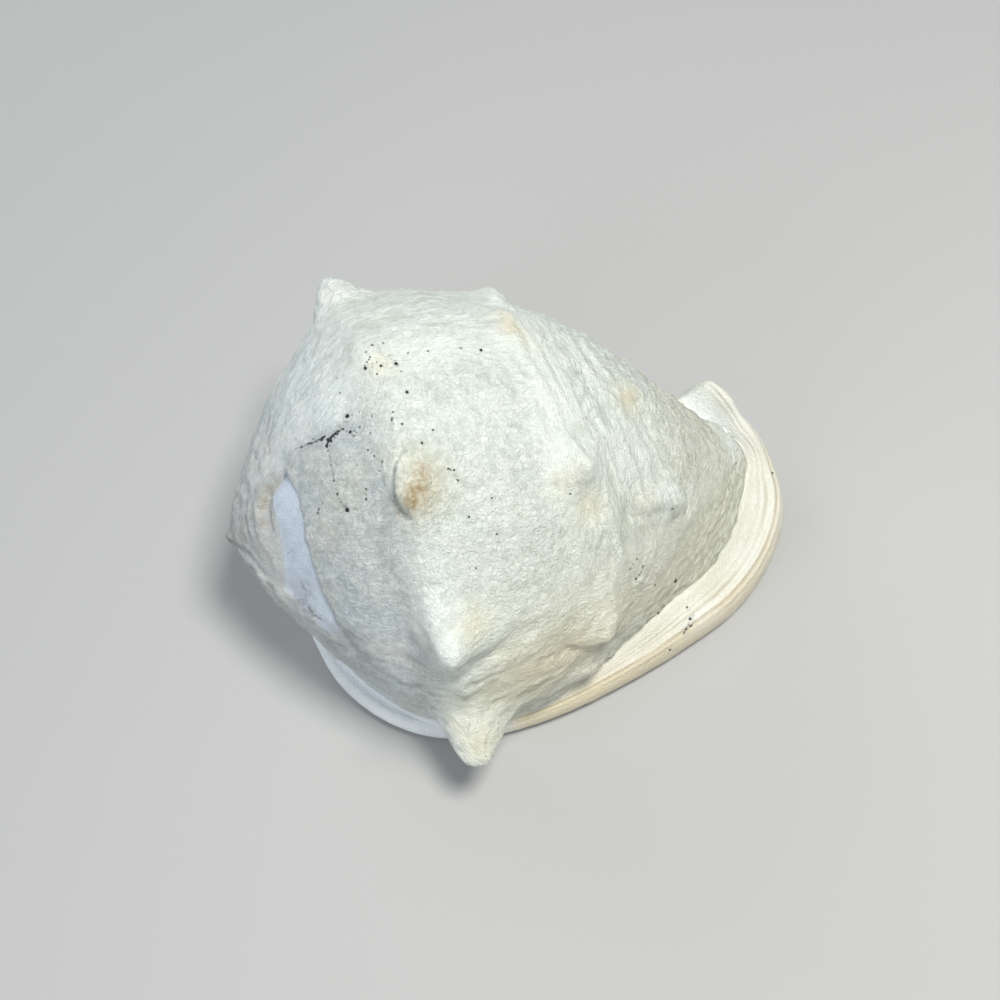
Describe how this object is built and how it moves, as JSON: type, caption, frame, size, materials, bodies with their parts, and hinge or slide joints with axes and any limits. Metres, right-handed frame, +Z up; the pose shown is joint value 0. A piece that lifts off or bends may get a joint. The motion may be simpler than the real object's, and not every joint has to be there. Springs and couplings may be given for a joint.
{
  "type": "horned helmet shell",
  "caption": "Large bleached horned helmet shell, a low-spired sea snail shell with blunt horns, a flared lip and a toothed slit aperture, resting on its flat shield.",
  "frame": {"origin": "centre of the bounding box at its base, on the surface that the shell rests on", "axes": "+X from the spire to the canal, +Y from the outer lip to the shield side, +Z up out of the dome"},
  "size_m": [0.2302, 0.2074, 0.1501],
  "materials": {
    "shell": "matte"
  },
  "bodies": {
    "root": {"helmet_shell": "shell"}
  },
  "joints": []
}
